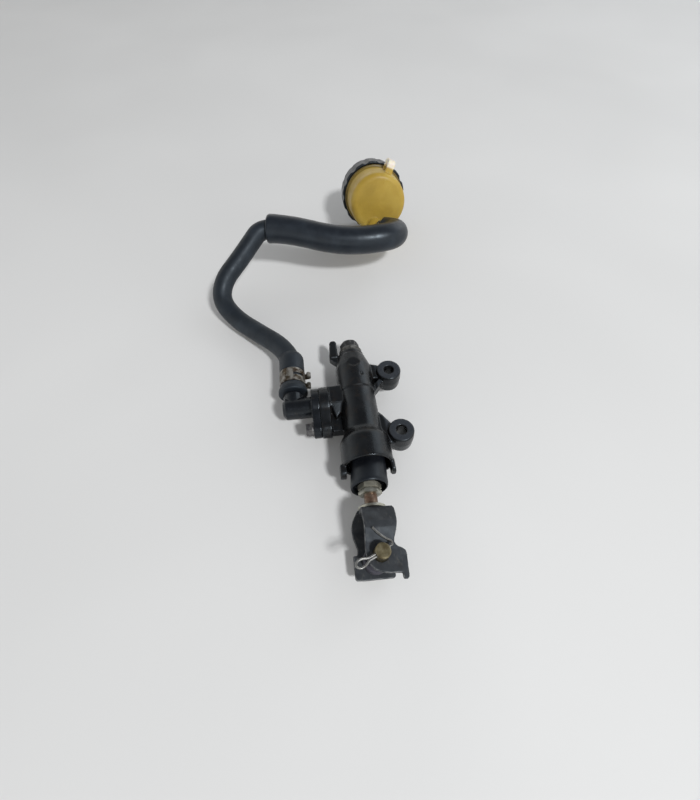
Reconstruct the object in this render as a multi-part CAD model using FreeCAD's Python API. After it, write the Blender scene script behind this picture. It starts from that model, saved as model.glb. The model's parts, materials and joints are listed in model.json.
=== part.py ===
import FreeCAD, Part
import math
import os

from FreeCAD import Placement, Rotation, Vector

# Rear brake master cylinder of a motorcycle, with its push rod and clevis, its
# inlet elbow, its feed hose and its remote reservoir.  Millimetres.
# Origin: midway between the two mounting bosses, on their top faces.
# +Y runs along the bore towards the outlet, +Z is up, +X towards the bosses.

# ---- driving dimensions ----
BOSS_SPACING = 48.0
BOSS_RADIUS = 8.5
BOSS_HEIGHT = 15.0
BOLT_HOLE_RADIUS = 3.4

AXIS_X = -24.0
AXIS_Z = -7.0
BORE_RADIUS = 7.0
BORE_END = 31.0
OUTLET_FACE = 45.0
OUTLET_RADIUS = 9.0
UPPER_RADIUS = 12.7
LOWER_RADIUS = 12.2
SEAM_Y = 10.5
CUP_START = -23.0
CUP_RADIUS = 16.2
CUP_INNER_RADIUS = 14.2
CUP_MOUTH = -43.5
EAR_START = -42.0
EAR_END = -49.6
EAR_GROWTHS = {-1: 1.7, 1: 0.5}
WASHER_SEAT = -28.0
BOOT_SEAT = -31.2
CAVITY_START = -35.0

OUTLET_THREAD_RADIUS = 5.0
OUTLET_THREAD_END = 34.0
BOLT_HEAD_FLATS = 12.0
CRUSH_WASHER_THICKNESS = 1.5

PORT_Y = 4.5
PORT_Z = -8.0
FLANGE_OUTER_X = -55.4
FLANGE_JOINT_X = -50.0
BLOCK_INNER_X = -43.5
FLANGE_RADIUS = 12.2
SCREW_Y = -12.8
SCREW_LUG_RADIUS = 6.3
ELBOW_X = -67.5
ELBOW_RADIUS = 7.2
ELBOW_TOP = 15.0
NIPPLE_RADIUS = 3.7
NIPPLE_END = 32.0
PASSAGE_RADIUS = 2.4

HOSE_RADIUS = 7.5
HOSE_BORE_RADIUS = 4.0
SLEEVE_RADIUS = 11.1
SLEEVE_BORE_RADIUS = 7.9
CUFF_RADIUS = 8.9
CUFF_LIP_RADIUS = 10.0
CUFF_GROOVE_RADIUS = 8.2
CUFF_START = 15.8
CUFF_END = 49.8
CLAMP_START = 23.2
CLAMP_END = 33.7
CLAMP_THICKNESS = 0.8
EAR_WIDTH = 4.2

ROD_RADIUS = 4.0
BALL_Y = -20.5
BALL_RADIUS = 4.4
ROD_YAW = -2.0
HEX_FLATS = 12.4
ROD_HEX_START = -55.3
ROD_HEX_END = -59.0
LOCK_NUT_END = -62.1
ROD_END = -79.0

BOOT_RADIUS = 10.8
BOOT_WALL = 1.6
BOOT_BEND_Y = -44.0
BOOT_NOSE = Vector(-25.6, -58.5, -5.8)
BOOT_POCKET_RADIUS = 9.0
BOOT_POCKET_DEPTH = 4.6
BOOT_ROUNDING = 1.4

CLEVIS_ROLL = 7.0
SHEET = 2.3
CLEVIS_TOP = -71.0
PIN_Y = -98.0
PIN_RADIUS = 4.2
PIN_HEAD_RADIUS = 8.0
PIN_TOP = 17.0
PIN_BOTTOM = -13.6
COTTER_HEIGHT = 13.9
COTTER_ANGLE = 24.0
COTTER_RADIUS = 0.65

RESERVOIR_CENTRE = Vector(18.5, 237.5, 3.1)
RESERVOIR_TILT = 72.0
CAP_RADIUS = 28.6
CAP_LENGTH = 21.0
CAP_LOBES = 14
NECK_RADIUS = 25.2
RESERVOIR_RADIUS = 24.2
RESERVOIR_WALL = 2.0
RIM_Z = 6.1
SHOULDER_Z = 22.5
RESERVOIR_DEPTH = 49.4
OUTLET_ROOT = Vector(-3.5, -15.5, 46.0)
TAB_ANGLE = 24.0
TAB_RADIUS = 27.5
TAB_AXIAL = 34.5
TAB_LENGTH = 14.0
TAB_END = 34.0
TAB_THICKNESS = 6.2
TAB_HOLE_RADIUS = 3.3

# Centre line of the hose, from the inlet elbow to the reservoir's outlet.
HOSE_ROUTE = [
    (-67.5, 15.8, -8.0),
    (-67.5, 32.5, -8.0),
    (-68.0, 48.5, -8.4),
    (-75.5, 63.5, -10.0),
    (-92.0, 81.0, -13.0),
    (-109.5, 99.0, -14.5),
    (-121.0, 114.5, -8.0),
    (-116.8, 127.6, 2.0),
    (-104.0, 139.6, 9.5),
    (-93.4, 151.4, 16.0),
    (-83.4, 163.2, 22.0),
    (-58.0, 159.4, 20.5),
    (-27.0, 149.2, 16.0),
    (-2.0, 146.0, 15.3),
    (17.3, 148.0, 15.3),
    (25.8, 153.2, 13.2),
    (28.9, 161.6, 9.4),
    (25.2, 170.0, 5.4),
    (16.4, 174.2, 3.5),
]
SLEEVE_FIRST_POINT = 10
SLEEVE_LEAD = 0.31

ALONG_X = Vector(1, 0, 0)
ALONG_Y = Vector(0, 1, 0)
ALONG_Z = Vector(0, 0, 1)


# ---- shared helpers ----
def export(shape, node):
    shape.exportStep(f"parts/{node}.step")


def cylinder_y(radius, start, end, x=AXIS_X, z=AXIS_Z):
    """Cylinder along Y between two stations."""
    low = min(start, end)
    return Part.makeCylinder(radius, abs(end - start), Vector(x, low, z), ALONG_Y)


def tube_y(outer, inner, start, end, x=AXIS_X, z=AXIS_Z):
    """Ring or tube along Y."""
    bore = cylinder_y(inner, min(start, end) - 1, max(start, end) + 1, x, z)
    return cylinder_y(outer, start, end, x, z).cut(bore)


def turned_y(profile, x=AXIS_X, z=AXIS_Z):
    """Solid turned about an axis along Y from a closed (y, radius) outline."""
    points = [Vector(radius, y, 0) for y, radius in profile]
    face = Part.Face(Part.makePolygon(points + points[:1]))
    solid = face.revolve(Vector(0, 0, 0), ALONG_Y, 360)
    return solid.translated(Vector(x, 0, z))


def turned_z(profile):
    """Solid turned about Z from a closed (z, radius) outline."""
    points = [Vector(radius, 0, z) for z, radius in profile]
    face = Part.Face(Part.makePolygon(points + points[:1]))
    return face.revolve(Vector(0, 0, 0), ALONG_Z, 360)


def box(x0, x1, y0, y1, z0, z1):
    return Part.makeBox(x1 - x0, y1 - y0, z1 - z0, Vector(x0, y0, z0))


def prism_z(outline, z0, z1):
    """Flat outline in X and Y, raised between two heights."""
    points = [Vector(x, y, z0) for x, y in outline]
    face = Part.Face(Part.makePolygon(points + points[:1]))
    return face.extrude(Vector(0, 0, z1 - z0))


def rounded(solid, radius, wanted):
    """Fillet the edges of a solid whose centre passes the test."""
    edges = [edge for edge in solid.Edges if wanted(edge)]
    return solid.makeFillet(radius, edges)


def is_upright(edge):
    ends = [vertex.Point for vertex in edge.Vertexes]
    if len(ends) != 2:
        return False
    across = math.hypot(ends[0].x - ends[1].x, ends[0].y - ends[1].y)
    return across < 0.01


def hexagon_y(flats, start, end, chamfer=0.6):
    """Hexagonal prism along Y, with its corners turned off at both ends."""
    corner = flats / math.sqrt(3)
    points = []
    for side in range(6):
        angle = math.radians(60 * side + 30)
        points.append(Vector(corner * math.sin(angle), start, corner * math.cos(angle)))
    face = Part.Face(Part.makePolygon(points + points[:1]))
    prism = face.extrude(Vector(0, end - start, 0))
    prism.translate(Vector(AXIS_X, 0, AXIS_Z))
    low = min(start, end)
    high = max(start, end)
    inner = flats / 2 * 0.97
    limits = [(low, 0), (low, inner), (low + chamfer, corner)]
    limits += [(high - chamfer, corner), (high, inner), (high, 0)]
    return prism.common(turned_y(limits))


def bend_radii(route):
    """Arc radius at each inner point: 0.45 of the shorter run over tan(half turn)."""
    points = [Vector(*point) for point in route]
    radii = []
    for before, here, after in zip(points, points[1:], points[2:]):
        turn = (here - before).getAngle(after - here)
        shorter = min((here - before).Length, (after - here).Length)
        radii.append(0.45 * shorter / math.tan(turn / 2))
    return radii


def route_wire(route, radii):
    """Straight runs joined by tangent arcs."""
    points = [Vector(*point) for point in route]
    edges = []
    start = points[0]
    for before, here, after, radius in zip(points, points[1:], points[2:], radii):
        towards = (before - here).normalize()
        onwards = (after - here).normalize()
        half_turn = (math.pi - towards.getAngle(onwards)) / 2
        cut_back = radius * math.tan(half_turn)
        arc_start = here + towards * cut_back
        arc_end = here + onwards * cut_back
        bisector = (towards + onwards).normalize()
        middle = here + bisector * (radius / math.cos(half_turn) - radius)
        if (arc_start - start).Length > 0.01:
            edges.append(Part.LineSegment(start, arc_start).toShape())
        edges.append(Part.Arc(arc_start, middle, arc_end).toShape())
        start = arc_end
    edges.append(Part.LineSegment(start, points[-1]).toShape())
    return Part.Wire(edges)


def swept(wire, radius):
    """Round bar along a wire."""
    start = wire.Edges[0].valueAt(wire.Edges[0].FirstParameter)
    heading = wire.Edges[0].tangentAt(wire.Edges[0].FirstParameter)
    section = Part.Face(Part.Wire(Part.Circle(start, heading, radius).toShape()))
    return wire.makePipe(section)


# ---- cylinder body ----
def mounting_boss(y):
    """Threaded boss with a parting line halfway up and draft both ways."""
    draft = 0.35
    profile = [
        (-BOSS_HEIGHT, 0),
        (-BOSS_HEIGHT, BOSS_RADIUS - draft - 0.5),
        (-BOSS_HEIGHT + 0.5, BOSS_RADIUS - draft),
        (-BOSS_HEIGHT / 2 - 0.3, BOSS_RADIUS + 0.1),
        (-BOSS_HEIGHT / 2 + 0.3, BOSS_RADIUS + 0.1),
        (-0.6, BOSS_RADIUS - draft / 2),
        (0, BOSS_RADIUS - draft / 2 - 0.6),
        (0, 0),
    ]
    return turned_z(profile).translated(Vector(0, y, 0))


def bolt_hole(y):
    """Through hole of a boss, countersunk at both faces."""
    lead = 0.4
    profile = [
        (-BOSS_HEIGHT - 0.1, 0),
        (-BOSS_HEIGHT - 0.1, BOLT_HOLE_RADIUS + lead + 0.1),
        (-BOSS_HEIGHT + lead, BOLT_HOLE_RADIUS),
        (-lead, BOLT_HOLE_RADIUS),
        (0.1, BOLT_HOLE_RADIUS + lead + 0.1),
        (0.1, 0),
    ]
    return turned_z(profile).translated(Vector(0, y, 0))


def front_arm():
    """Webbed arm from the barrel to the boss at the outlet end."""
    web = [(-24, 35), (-13, 35), (-5, 31.4), (0, 32), (0, 16), (-5.5, 17.2), (-13.5, 7.5),
           (-24, 7.5)]
    floor = prism_z(web, -11.0, -7.5)
    bar = prism_z([(-24, 33.5), (-13, 33.5), (-4, 30.5), (0, 30), (0, 20), (-24, 20)], -11.0, -3.0)
    bar = rounded(bar, 1.5, lambda edge: edge.CenterOfMass.z > -3.1)
    rib = prism_z([(-16, 5.5), (-11.5, 9.5), (-4.5, 18), (-3, 21), (-6.2, 21), (-16, 9.5)], -11.0, -3.4)
    return floor.fuse([bar, rib])


def rear_arm():
    """Arm from the barrel and the cup's shoulder to the boss at the rod end."""
    outline = [(-24, -5), (-12.5, -6), (-9.3, -9.5), (-4.5, -17), (0, -17), (0, -31), (-5, -31),
               (-24, -31)]
    arm = prism_z(outline, -11.5, -3.2)
    return rounded(arm, 1.8, lambda edge: edge.CenterOfMass.z > -3.3)


def banjo_stop():
    """Cast finger beside the outlet that keeps a hose union from turning."""
    finger = prism_z([(-38.6, 59.0), (-33.4, 59.0), (-33.4, 43.0), (-39.8, 43.0)], -10.5, -4.5)
    finger = rounded(finger, 2.4, lambda edge: edge.CenterOfMass.y > 58.9 and is_upright(edge))
    finger = rounded(finger, 1.2, lambda edge: abs(edge.CenterOfMass.z + 4.5) < 0.01)
    foot = [(-39.8, 46.0), (-39.8, 43.0), (-35.5, 38.8), (-24, 36.5), (-24, 44.5), (-32, 44.5)]
    root = prism_z(foot, -11.5, -5.5)
    return finger.fuse(root)


def cup_ears():
    """Two lugs at the sides of the mouth that reach past its rim."""
    ears = []
    for side, growth in EAR_GROWTHS.items():
        ring = tube_y(CUP_RADIUS + growth, CUP_INNER_RADIUS, EAR_END, EAR_START)
        centre = AXIS_X + side * CUP_RADIUS
        block = box(centre - 5, centre + 5, EAR_END, EAR_START, AXIS_Z - 4.5, AXIS_Z + 4.5)
        block = rounded(block, 3.0, lambda edge: abs(edge.CenterOfMass.y - EAR_END) < 0.01
                        and abs(abs(edge.CenterOfMass.z - AXIS_Z) - 4.5) < 0.01)
        ears.append(block.common(ring))
    return ears


def lobed_plate(x0, x1, growth=0.0):
    """Flange across X: a round part about the port and a lug about the screw."""
    centre = Vector(x0, PORT_Y, PORT_Z)
    lug = Vector(x0, SCREW_Y, PORT_Z)
    depth = x1 - x0
    main = Part.makeCylinder(FLANGE_RADIUS + growth, depth, centre, ALONG_X)
    small = Part.makeCylinder(SCREW_LUG_RADIUS + growth, depth, lug, ALONG_X)
    high = FLANGE_RADIUS + growth
    low = SCREW_LUG_RADIUS + growth
    web_points = [(PORT_Y, high), (SCREW_Y, low), (SCREW_Y, -low), (PORT_Y, -high)]
    corners = [Vector(x0, y, PORT_Z + z) for y, z in web_points]
    web = Part.Face(Part.makePolygon(corners + corners[:1])).extrude(Vector(depth, 0, 0))
    return main.fuse([small, web]).removeSplitter()


def inlet_block():
    """Cast flange for the elbow, its neck and its gusset."""
    block = lobed_plate(FLANGE_JOINT_X, BLOCK_INNER_X, 0.5)
    neck = Part.makeCylinder(6.2, 22, Vector(BLOCK_INNER_X - 1, PORT_Y, PORT_Z), ALONG_X)
    bridge = box(BLOCK_INNER_X - 1, -30.0, 2.2, 15.5, -15.0, -0.4)
    bridge = rounded(bridge, 1.2, lambda edge: edge.CenterOfMass.y > 15.4 and edge.CenterOfMass.z > -0.5)
    lower = box(BLOCK_INNER_X - 1, -30.0, -15.5, 3.0, -16.0, -8.5)
    ridge = [Vector(-43.4, 2.6, -0.6), Vector(-31.0, 2.6, -0.6), Vector(-39.8, -7.0, -6.4)]
    face = Part.Face(Part.makePolygon(ridge + ridge[:1]))
    gusset = face.extrude(Vector(0, 0, -6.0))
    return block.fuse([neck, bridge, lower, gusset])


def body_outside():
    profile = [
        (OUTLET_FACE, 0),
        (OUTLET_FACE, OUTLET_RADIUS - 0.5),
        (OUTLET_FACE - 0.5, OUTLET_RADIUS),
        (41.6, OUTLET_RADIUS + 0.2),
        (40.6, OUTLET_RADIUS + 1.0),
        (33.5, UPPER_RADIUS - 0.6),
        (30.5, UPPER_RADIUS),
        (SEAM_Y + 0.3, UPPER_RADIUS + 0.1),
        (SEAM_Y, UPPER_RADIUS - 0.1),
        (SEAM_Y - 0.5, LOWER_RADIUS),
        (CUP_START + 3.0, LOWER_RADIUS),
        (CUP_START + 0.6, LOWER_RADIUS + 0.9),
        (CUP_START - 2.6, CUP_RADIUS - 0.9),
        (CUP_START - 4.5, CUP_RADIUS - 0.2),
        (CUP_MOUTH + 0.6, CUP_RADIUS),
        (CUP_MOUTH, CUP_RADIUS - 0.5),
        (CUP_MOUTH, 0),
    ]
    return turned_y(profile)


def body_inside():
    """Bore, seats for the washer, circlip and boot, and the cup's cavity."""
    profile = [
        (BORE_END, 0),
        (BORE_END, BORE_RADIUS - 0.5),
        (BORE_END - 0.5, BORE_RADIUS),
        (WASHER_SEAT, BORE_RADIUS),
        (WASHER_SEAT, 9.5),
        (-29.25, 9.5),
        (-29.25, 10.4),
        (-30.55, 10.4),
        (-30.55, 9.5),
        (BOOT_SEAT, 9.5),
        (BOOT_SEAT, 11.25),
        (CAVITY_START, 11.25),
        (CAVITY_START, CUP_INNER_RADIUS - 1.0),
        (CAVITY_START - 1.0, CUP_INNER_RADIUS),
        (EAR_END - 1.0, CUP_INNER_RADIUS),
        (EAR_END - 1.0, 0),
    ]
    return turned_y(profile)


def cylinder_body():
    outside = body_outside()
    added = [front_arm(), rear_arm(), banjo_stop(), inlet_block()] + cup_ears()
    bosses = [mounting_boss(side * BOSS_SPACING / 2) for side in (-1, 1)]
    casting = outside.fuse(added + bosses)
    port = Part.makeCylinder(5.4, 7.0, Vector(FLANGE_JOINT_X - 0.1, PORT_Y, PORT_Z), ALONG_X)
    feed = Part.makeCylinder(2.0, 26.0, Vector(FLANGE_JOINT_X, PORT_Y, PORT_Z), ALONG_X)
    screw_hole = Part.makeCylinder(2.5, 5.6, Vector(FLANGE_JOINT_X - 0.1, SCREW_Y, PORT_Z), ALONG_X)
    outlet = cylinder_y(OUTLET_THREAD_RADIUS, OUTLET_THREAD_END, OUTLET_FACE + 1)
    passage = cylinder_y(2.0, BORE_END - 1, OUTLET_THREAD_END + 1)
    mark = Part.makeCylinder(4.6, 3.0, Vector(AXIS_X, 31.0, AXIS_Z + UPPER_RADIUS - 0.8))
    dimple = Part.makeCylinder(1.3, 3.0, Vector(AXIS_X + 4.2, 19.5, AXIS_Z + UPPER_RADIUS - 1.4))
    holes = [bolt_hole(side * BOSS_SPACING / 2) for side in (-1, 1)]
    cuts = [body_inside(), port, feed, screw_hole, outlet, passage, mark, dimple] + holes
    return casting.cut(cuts).removeSplitter()


# ---- outlet ----
def crush_washers():
    first = OUTLET_FACE
    rings = []
    for count in range(2):
        start = first + count * CRUSH_WASHER_THICKNESS
        ring = tube_y(8.2, OUTLET_THREAD_RADIUS + 0.15, start, start + CRUSH_WASHER_THICKNESS)
        edges = [e for e in ring.Edges if e.Length > 45]
        rings.append(ring.makeChamfer(0.25, edges))
    return Part.makeCompound(rings)


def banjo_bolt():
    """Union bolt: hexagon head, round flange, shank with a cross-drilled bore."""
    seat = OUTLET_FACE + 2 * CRUSH_WASHER_THICKNESS
    flange = turned_y([(seat, 0), (seat, 7.6), (seat + 0.9, 7.6), (seat + 1.3, 7.0), (seat + 1.3, 0)])
    head = hexagon_y(BOLT_HEAD_FLATS, seat + 1.0, seat + 7.2, 0.9)
    shank = cylinder_y(OUTLET_THREAD_RADIUS - 0.02, OUTLET_THREAD_END + 1.5, seat + 1)
    bore = cylinder_y(1.8, OUTLET_THREAD_END, seat - 2)
    cross = Part.makeCylinder(1.2, 14, Vector(AXIS_X - 7, 46.0, AXIS_Z), ALONG_X)
    dish = turned_y([(seat + 7.3, 0), (seat + 7.3, 3.6), (seat + 6.9, 3.0), (seat + 6.9, 0)])
    return flange.fuse([head, shank]).cut([bore, cross, dish])


# ---- inside the bore ----
def piston():
    """Two lands, a waist under the inlet port, a spigot and a ball socket."""
    land = BORE_RADIUS - 0.05
    profile = [
        (12.6, 0), (12.6, 2.5), (12.1, 3.0), (8.0, 3.0), (8.0, land - 0.3), (7.7, land),
        (6.3, land), (6.0, land - 0.3), (6.0, 4.2), (-12.0, 4.2), (-12.0, land), (-13.0, land),
        (-13.0, 4.2), (-17.2, 4.2), (-17.2, land), (-22.6, land), (-23.0, land - 0.4), (-23.0, 0),
    ]
    body = turned_y(profile)
    socket = Part.makeSphere(BALL_RADIUS + 0.06, Vector(AXIS_X, BALL_Y, AXIS_Z))
    mouth = turned_y([(BALL_Y, 0), (BALL_Y, BALL_RADIUS + 0.06), (-23.1, BALL_RADIUS + 0.9), (-23.1, 0)])
    return body.cut([socket, mouth])


def primary_cup():
    """Main pressure seal, its lip towards the outlet."""
    profile = [
        (8.0, 3.0), (8.0, 6.3), (8.6, 6.8), (12.2, 6.97), (12.8, 6.6), (10.6, 5.4), (10.0, 4.4),
        (10.0, 3.0),
    ]
    return turned_y(profile)


def secondary_cup():
    """Seal at the rear land, its lip towards the inlet."""
    profile = [
        (-17.2, 4.2), (-17.2, 6.4), (-16.6, 6.85), (-13.6, 6.97), (-13.1, 6.6), (-14.6, 5.8),
        (-15.0, 5.2), (-15.0, 4.2),
    ]
    return turned_y(profile)


def spring_seat():
    """Pressed cup on the spigot that carries the return spring."""
    profile = [
        (10.1, 3.0), (10.1, 4.3), (11.4, 4.4), (12.9, 6.0), (13.5, 6.0), (13.5, 3.4), (16.2, 3.4),
        (16.2, 0), (15.6, 0), (12.7, 0), (12.7, 2.4), (12.3, 3.0),
    ]
    return turned_y(profile)


def return_spring():
    """Coil spring between its seat on the piston and the end of the bore."""
    wire_radius = 0.6
    coil_radius = 5.0
    coils = 5.5
    start = 13.6 + wire_radius
    length = BORE_END - 0.1 - wire_radius - start
    helix = Part.makeHelix(length / coils, length, coil_radius)
    section = Part.Wire(Part.Circle(Vector(coil_radius, 0, 0), ALONG_Y, wire_radius).toShape())
    coil = Part.Wire(helix.Edges).makePipeShell([section], True, True)
    coil.rotate(Vector(0, 0, 0), ALONG_X, -90)
    return coil.translated(Vector(AXIS_X, start, AXIS_Z))


def stop_washer():
    return tube_y(9.4, 5.3, WASHER_SEAT - 0.02, -29.2)


def circlip():
    """Internal retaining ring with two eyed ends."""
    ring = tube_y(10.3, 8.6, -29.3, -30.5)
    gap = box(AXIS_X - 2.2, AXIS_X + 2.2, -31, -29, AXIS_Z, AXIS_Z + 12)
    clip = ring.cut(gap)
    for side in (-1, 1):
        eye = cylinder_y(1.5, -29.3, -30.5, AXIS_X + side * 3.0, AXIS_Z + 8.0)
        hole = cylinder_y(0.7, -29, -31, AXIS_X + side * 3.0, AXIS_Z + 8.0)
        clip = clip.fuse(eye).cut(hole)
    return clip.removeSplitter()


def boot_tube(radius, start, share):
    """Round bar along the boot's centre line, up to a share of the way to its nose."""
    bend = Vector(AXIS_X, BOOT_BEND_Y, AXIS_Z)
    tip = bend + (BOOT_NOSE - bend) * share
    route = [(AXIS_X, start, AXIS_Z), tuple(bend), tuple(tip)]
    return swept(route_wire(route, [60.0]), radius)


def rubber_boot():
    """Dust boot: a sleeve pushed aside by the rod, its nose hollow round the hexagon."""
    seat = turned_y([
        (BOOT_SEAT - 0.15, 0), (BOOT_SEAT - 0.15, 10.9), (BOOT_SEAT - 0.5, 11.15),
        (CAVITY_START + 0.2, 11.15), (CAVITY_START, BOOT_RADIUS), (CAVITY_START, 0),
    ])
    sleeve = boot_tube(BOOT_RADIUS, CAVITY_START + 0.5, 1.0)
    sleeve = rounded(sleeve, BOOT_ROUNDING, lambda edge: edge.CenterOfMass.y < BOOT_NOSE.y + 0.5
                     and edge.BoundBox.XLength > 2 * BOOT_RADIUS - 0.5)
    hollow = boot_tube(BOOT_RADIUS - BOOT_WALL, BOOT_SEAT + 1, 0.45)
    pocket_axis = (Vector(AXIS_X, BOOT_BEND_Y, AXIS_Z) - BOOT_NOSE).normalize()
    pocket = Part.makeCylinder(BOOT_POCKET_RADIUS, BOOT_POCKET_DEPTH + 1,
                               BOOT_NOSE - pocket_axis, pocket_axis)
    rod_hole = on_rod_axis(cylinder_y(ROD_RADIUS + 0.1, BOOT_NOSE.y - 1, BOOT_BEND_Y))
    return seat.fuse(sleeve).cut([hollow, pocket, rod_hole])


# ---- push rod and clevis ----
def on_rod_axis(shape):
    """Swing a shape drawn on the bore's axis to the resting angle of the rod."""
    swing = Placement(Vector(0, 0, 0), Rotation(ALONG_Z, ROD_YAW), Vector(AXIS_X, BALL_Y, 0))
    shape.Placement = swing.multiply(shape.Placement)
    return shape


def push_rod():
    """Threaded rod with a ball, a retaining collar and a hexagon for a spanner."""
    ball = Part.makeSphere(BALL_RADIUS, Vector(AXIS_X, BALL_Y, AXIS_Z))
    profile = [
        (-22.0, 0), (-22.0, 2.9), (-24.8, 2.9), (-25.2, 6.2), (-27.0, 6.2), (-27.4, 5.0),
        (-27.4, ROD_RADIUS), (ROD_END + 0.8, ROD_RADIUS), (ROD_END, ROD_RADIUS - 0.8), (ROD_END, 0),
    ]
    spanner_hex = hexagon_y(HEX_FLATS, ROD_HEX_START, ROD_HEX_END)
    return on_rod_axis(ball.fuse([turned_y(profile), spanner_hex]))


def lock_nut():
    nut = hexagon_y(HEX_FLATS, ROD_HEX_END - 0.15, LOCK_NUT_END)
    return on_rod_axis(nut.cut(cylinder_y(ROD_RADIUS + 0.02, -55, -70)))


def in_clevis_frame(shape):
    """Place a shape drawn with X across the plates and Z through them."""
    roll = Placement(Vector(AXIS_X, 0, AXIS_Z), Rotation(ALONG_Y, CLEVIS_ROLL))
    shape.Placement = roll.multiply(shape.Placement)
    return on_rod_axis(shape)


def clevis_nut():
    """Flanged nut seated in the fold of the clevis, on the rod's thread."""
    profile = [
        (CLEVIS_TOP + 1.9, 0), (CLEVIS_TOP + 1.9, 7.6), (CLEVIS_TOP + 1.5, 8.2),
        (CLEVIS_TOP + 0.05, 8.2), (CLEVIS_TOP + 0.05, 6.0), (CLEVIS_TOP - 5.4, 6.0),
        (CLEVIS_TOP - 5.8, 5.5), (CLEVIS_TOP - 5.8, 0),
    ]
    return on_rod_axis(turned_y(profile).cut(cylinder_y(ROD_RADIUS + 0.02, -60, -85)))


def clevis_section():
    """Closed outline of the bent sheet, seen from the side, as (y, z) points."""
    outer = [(-112.5, 9.8), (-96.0, 9.8), (-91.5, 10.6), (-84.5, 12.9), (-81.0, 12.5), (-73.6, 8.3),
             (CLEVIS_TOP, 6.6)]
    inner = [(y + (0 if y < -75 else -SHEET), z - SHEET) for y, z in outer[:-2]]
    inner += [(CLEVIS_TOP - 3.6, 6.3), (CLEVIS_TOP - SHEET, 5.2)]
    rear_outer = [(y, -z) for y, z in outer]
    rear_inner = [(y, -z) for y, z in inner]
    return outer + rear_outer[::-1] + rear_inner + inner[::-1]


def front_plate_outline():
    """Shape of the upper plate: a foot to the right that ends in a small hook."""
    return [
        (-8.0, CLEVIS_TOP + 1), (10.0, CLEVIS_TOP + 1), (11.3, -72.6), (11.2, -76.5), (10.5, -82.0),
        (9.4, -87.0), (8.1, -90.5), (8.1, -92.4), (9.3, -94.2), (12.3, -95.5), (13.8, -96.8),
        (14.2, -98.6), (13.8, -109.8), (13.1, -111.0), (11.2, -111.0), (10.6, -110.2),
        (10.6, -107.9), (4.0, -107.8), (0.0, -107.2), (-3.6, -105.8), (-6.2, -103.2),
        (-7.7, -99.8), (-8.1, -96.0),
    ]


def rear_plate_outline():
    """Shape of the lower plate: a foot to each side."""
    return [
        (-7.4, CLEVIS_TOP + 1), (10.0, CLEVIS_TOP + 1), (10.0, -82.0), (8.4, -90.0), (8.4, -93.5),
        (9.6, -95.2), (10.8, -96.4), (10.8, -106.4), (9.8, -107.4), (-7.0, -107.9),
        (-11.2, -107.7), (-12.1, -106.8), (-12.4, -94.4), (-9.8, -94.4), (-9.4, -91.0),
        (-11.2, -83.0), (-11.8, -78.4), (-10.9, -74.4), (-9.0, -71.4),
    ]


def clevis_bracket():
    """Sheet folded into a U, cut to a different outline on each side."""
    points = [Vector(-20, y, z) for y, z in clevis_section()]
    sheet = Part.Face(Part.makePolygon(points + points[:1])).extrude(Vector(40, 0, 0))
    front = sheet.common(prism_z(front_plate_outline(), 0, 20))
    rear = sheet.common(prism_z(rear_plate_outline(), -20, 0))
    bracket = front.fuse(rear).removeSplitter()
    pin_hole = Part.makeCylinder(PIN_RADIUS + 0.05, 40, Vector(0, PIN_Y, -20))
    nut_hole = Part.makeCylinder(6.05, 10, Vector(0, CLEVIS_TOP - 6.5, 0), ALONG_Y)
    return in_clevis_frame(bracket.cut([pin_hole, nut_hole]))


def clevis_pin():
    """Headed pin with a cross hole for the cotter."""
    profile = [
        (PIN_BOTTOM, 0), (PIN_BOTTOM, PIN_HEAD_RADIUS - 0.6), (PIN_BOTTOM + 0.6, PIN_HEAD_RADIUS),
        (PIN_BOTTOM + 2.2, PIN_HEAD_RADIUS), (PIN_BOTTOM + 2.6, PIN_HEAD_RADIUS - 0.4),
        (PIN_BOTTOM + 2.6, PIN_RADIUS), (PIN_TOP - 0.7, PIN_RADIUS), (PIN_TOP, PIN_RADIUS - 0.8),
        (PIN_TOP, 0),
    ]
    pin = turned_z(profile).translated(Vector(0, PIN_Y, 0))
    angle = math.radians(COTTER_ANGLE)
    heading = Vector(math.cos(angle), math.sin(angle), 0)
    start = Vector(0, PIN_Y, COTTER_HEIGHT) - heading * 8
    return in_clevis_frame(pin.cut(Part.makeCylinder(2 * COTTER_RADIUS + 0.15, 16, start, heading)))


def pedal_bush():
    """Dark spacer left on the pin, against the lower plate."""
    profile = [(-7.3, PIN_RADIUS + 0.06), (-7.3, 7.0), (-6.9, 7.5), (-2.6, 7.5), (-2.0, 6.9),
               (-2.0, PIN_RADIUS + 0.06)]
    return in_clevis_frame(turned_z(profile).translated(Vector(0, PIN_Y, 0)))


def cotter_pin():
    """Eye and two legs in the pin's hole; the long leg is bent back over the plate."""
    angle = math.radians(COTTER_ANGLE)

    def in_hole(along, across):
        """Point given along and across the direction of the cross hole."""
        x = along * math.cos(angle) - across * math.sin(angle)
        y = along * math.sin(angle) + across * math.cos(angle)
        return (x, PIN_Y + y, COTTER_HEIGHT)

    eye_route = [
        in_hole(4.6, -0.6), in_hole(-8.5, -0.6), in_hole(-11.2, -2.0), in_hole(-14.4, -2.0),
        in_hole(-16.2, 0.0), in_hole(-14.4, 2.0), in_hole(-11.2, 2.0), in_hole(-8.7, 0.62),
        in_hole(-5.6, 0.55),
    ]
    leg_end = [(5.9, 3.5), (5.5, 5.4), (2.3, 6.9), (-0.7, 9.4), (-3.9, 12.9)]
    leg_route = [in_hole(-5.6, 0.55), in_hole(4.6, 0.6)]
    leg_route += [(x, PIN_Y + y, COTTER_HEIGHT) for x, y in leg_end]
    eye = swept(route_wire(eye_route, bend_radii(eye_route)), COTTER_RADIUS)
    leg = swept(route_wire(leg_route, bend_radii(leg_route)), COTTER_RADIUS)
    return in_clevis_frame(eye.fuse(leg))


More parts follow.
